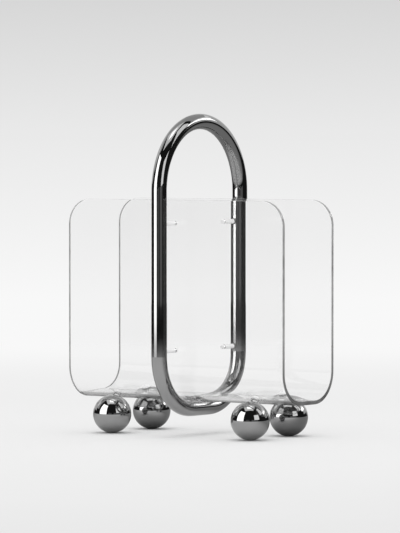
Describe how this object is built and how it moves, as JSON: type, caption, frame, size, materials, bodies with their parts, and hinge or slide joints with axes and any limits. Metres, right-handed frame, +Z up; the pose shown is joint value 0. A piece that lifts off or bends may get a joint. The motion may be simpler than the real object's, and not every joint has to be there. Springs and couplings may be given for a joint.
{
  "type": "magazine rack",
  "caption": "Free-standing magazine rack: a clear U-shaped tray on ball feet, held inside an upright metal tube loop that forms its carrying handle.",
  "frame": {"origin": "on the floor, midway between the four ball feet", "axes": "+Z up; X along the tray, through its open ends; Y across the tray, from the front panel (-Y) to the rear panel (+Y)"},
  "size_m": [0.34, 0.2, 0.417],
  "materials": {
    "clear_acrylic": "polished",
    "clear_nylon": "gloss",
    "gunmetal_tube": "polished",
    "gunmetal_ball": "polished",
    "plain_steel": "satin"
  },
  "bodies": {
    "root": {"ball_foot_front_left": "gunmetal_ball", "ball_foot_front_right": "gunmetal_ball", "ball_foot_rear_left": "gunmetal_ball", "ball_foot_rear_right": "gunmetal_ball", "clear_tray": "clear_acrylic", "foot_inner_seat_front_left": "clear_nylon", "foot_inner_seat_front_right": "clear_nylon", "foot_inner_seat_rear_left": "clear_nylon", "foot_inner_seat_rear_right": "clear_nylon", "foot_outer_seat_front_left": "clear_nylon", "foot_outer_seat_front_right": "clear_nylon", "foot_outer_seat_rear_left": "clear_nylon", "foot_outer_seat_rear_right": "clear_nylon", "foot_screw_front_left": "clear_nylon", "foot_screw_front_right": "clear_nylon", "foot_screw_rear_left": "clear_nylon", "foot_screw_rear_right": "clear_nylon", "handle_loop": "gunmetal_tube", "loop_joining_sleeve": "plain_steel", "panel_screw_front_lower": "clear_nylon", "panel_screw_front_upper": "clear_nylon", "panel_screw_rear_lower": "clear_nylon", "panel_screw_rear_upper": "clear_nylon", "post_washer_front_lower": "clear_nylon", "post_washer_front_upper": "clear_nylon", "post_washer_rear_lower": "clear_nylon", "post_washer_rear_upper": "clear_nylon", "screw_washer_front_lower": "clear_nylon", "screw_washer_front_upper": "clear_nylon", "screw_washer_rear_lower": "clear_nylon", "screw_washer_rear_upper": "clear_nylon", "standoff_post_front_lower": "clear_nylon", "standoff_post_front_upper": "clear_nylon", "standoff_post_rear_lower": "clear_nylon", "standoff_post_rear_upper": "clear_nylon", "tube_bush_front_lower": "gunmetal_tube", "tube_bush_front_upper": "gunmetal_tube", "tube_bush_rear_lower": "gunmetal_tube", "tube_bush_rear_upper": "gunmetal_tube"}
  },
  "joints": []
}
